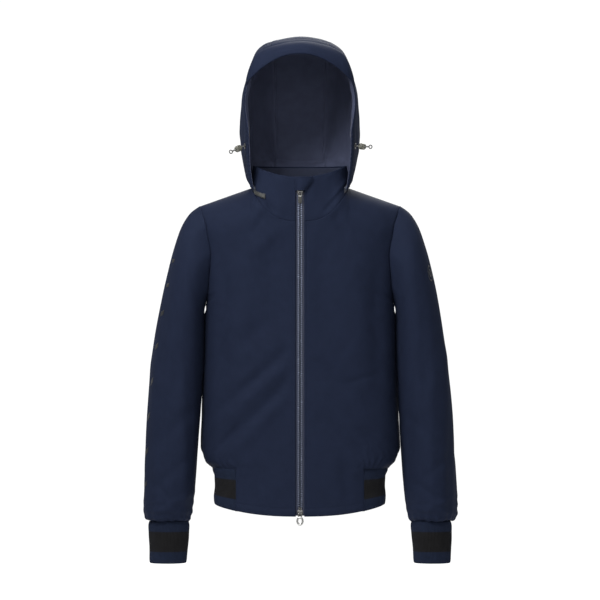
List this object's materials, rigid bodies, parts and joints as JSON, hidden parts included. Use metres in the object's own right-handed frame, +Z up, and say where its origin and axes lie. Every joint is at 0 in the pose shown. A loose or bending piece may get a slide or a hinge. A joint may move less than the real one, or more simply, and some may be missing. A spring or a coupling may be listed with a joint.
{
  "type": "foul weather jacket",
  "caption": "Hooded softshell foul weather jacket with stand collar, two-way front zip, rib-knit cuffs and hem, and a cord-adjusted hood.",
  "frame": {"origin": "middle of the neck, level with the high point of the shoulders", "axes": "+Z up, front of the jacket towards -Y, wearer's left towards +X"},
  "size_m": [0.627, 0.2625, 1.0497],
  "materials": {
    "softshell": "matt woven softshell",
    "lining": "smooth lining cloth",
    "rib_knit": "ribbed knit with a black band",
    "webbing": "woven tape",
    "zip_tape": "coated zip tape",
    "zip_teeth": "moulded teeth with a silver sheen",
    "zip_metal": "satin nickel",
    "cord": "braided cord",
    "lock_plastic": "smoky moulded plastic"
  },
  "bodies": {
    "torso": {"front_panel_left": "softshell", "front_panel_right": "softshell", "back_panel": "softshell", "front_lining_left": "lining", "front_lining_right": "lining", "back_lining": "lining", "hem_rib": "rib_knit", "collar_outer": "softshell", "collar_lining": "lining", "hood_zip_tape": "webbing", "hood_zip_pull": "webbing", "hanger_loop": "webbing", "neck_label": "lining", "storm_placket": "softshell", "chin_guard": "softshell", "zip_tape_left": "zip_tape", "zip_tape_right": "zip_tape", "zip_teeth_left": "zip_teeth", "zip_teeth_right": "zip_teeth", "zip_top_stop_left": "zip_metal", "zip_top_stop_right": "zip_metal", "zip_insertion_pin": "zip_metal", "zip_retainer_pin": "zip_metal"},
    "hood": {"hood_middle_panel": "softshell", "hood_side_left": "softshell", "hood_side_right": "softshell", "hood_brim": "softshell", "hood_middle_lining": "lining", "hood_lining_left": "lining", "hood_lining_right": "lining", "hood_drawcord": "cord", "eyelet_left": "zip_metal", "eyelet_right": "zip_metal", "cord_tail_left": "cord", "cord_tail_right": "cord", "cord_end_left": "cord", "cord_end_right": "cord"},
    "sleeve_left": {"sleeve_left": "softshell", "sleeve_lining_left": "lining", "cuff_left": "rib_knit"},
    "sleeve_right": {"sleeve_right": "softshell", "sleeve_lining_right": "lining", "cuff_right": "rib_knit"},
    "top_slider": {"top_slider": "zip_metal"},
    "top_pull": {"top_slider_pull": "zip_metal"},
    "bottom_slider": {"bottom_slider": "zip_metal"},
    "bottom_pull": {"bottom_slider_pull": "zip_metal"},
    "lock_left": {"cord_lock_barrel_left": "lock_plastic", "cord_lock_spring_left": "zip_metal"},
    "plunger_left": {"cord_lock_plunger_left": "lock_plastic"},
    "lock_right": {"cord_lock_barrel_right": "lock_plastic", "cord_lock_spring_right": "zip_metal"},
    "plunger_right": {"cord_lock_plunger_right": "lock_plastic"}
  },
  "joints": [
    {"name": "hood_fold", "type": "hinge", "parent": "torso", "child": "hood", "pos_m": [0, 0.086, 0.036], "axis": [-1, 0, 0], "range_deg": [0, 75]},
    {"name": "sleeve_left_lift", "type": "hinge", "parent": "torso", "child": "sleeve_left", "pos_m": [0.2006, 0, -0.018], "axis": [0, -1, 0], "range_deg": [0, 60]},
    {"name": "sleeve_right_lift", "type": "hinge", "parent": "torso", "child": "sleeve_right", "pos_m": [-0.2006, 0, -0.018], "axis": [0, 1, 0], "range_deg": [0, 60]},
    {"name": "top_zip_slide", "type": "slide", "parent": "torso", "child": "top_slider", "axis": [0, 0.049, 0.9988], "range_m": [-0.44, 0]},
    {"name": "top_pull_swing", "type": "hinge", "parent": "top_slider", "child": "top_pull", "pos_m": [0, -0.08987, 0.00819], "axis": [-1, 0, 0], "range_deg": [0, 85]},
    {"name": "bottom_zip_slide", "type": "slide", "parent": "torso", "child": "bottom_slider", "axis": [0, 0.049, 0.9988], "range_m": [0, 0.12]},
    {"name": "bottom_pull_swing", "type": "hinge", "parent": "bottom_slider", "child": "bottom_pull", "pos_m": [0, -0.12108, -0.62734], "axis": [-1, 0, 0], "range_deg": [0, 150]},
    {"name": "cord_lock_left_slide", "type": "slide", "parent": "hood", "child": "lock_left", "axis": [0.8629, -0.5017, -0.0602], "range_m": [0, 0.004]},
    {"name": "plunger_left_press", "type": "slide", "parent": "lock_left", "child": "plunger_left", "axis": [0.5005, 0.865, -0.0349], "range_m": [0, 0.0018], "stiffness_N_per_m": 250, "springref_m": -0.002},
    {"name": "cord_lock_right_slide", "type": "slide", "parent": "hood", "child": "lock_right", "axis": [-0.7744, -0.5232, -0.3558], "range_m": [0, 0.004]},
    {"name": "plunger_right_press", "type": "slide", "parent": "lock_right", "child": "plunger_right", "axis": [-0.4754, 0.8522, -0.2184], "range_m": [0, 0.0018], "stiffness_N_per_m": 250, "springref_m": -0.002}
  ]
}
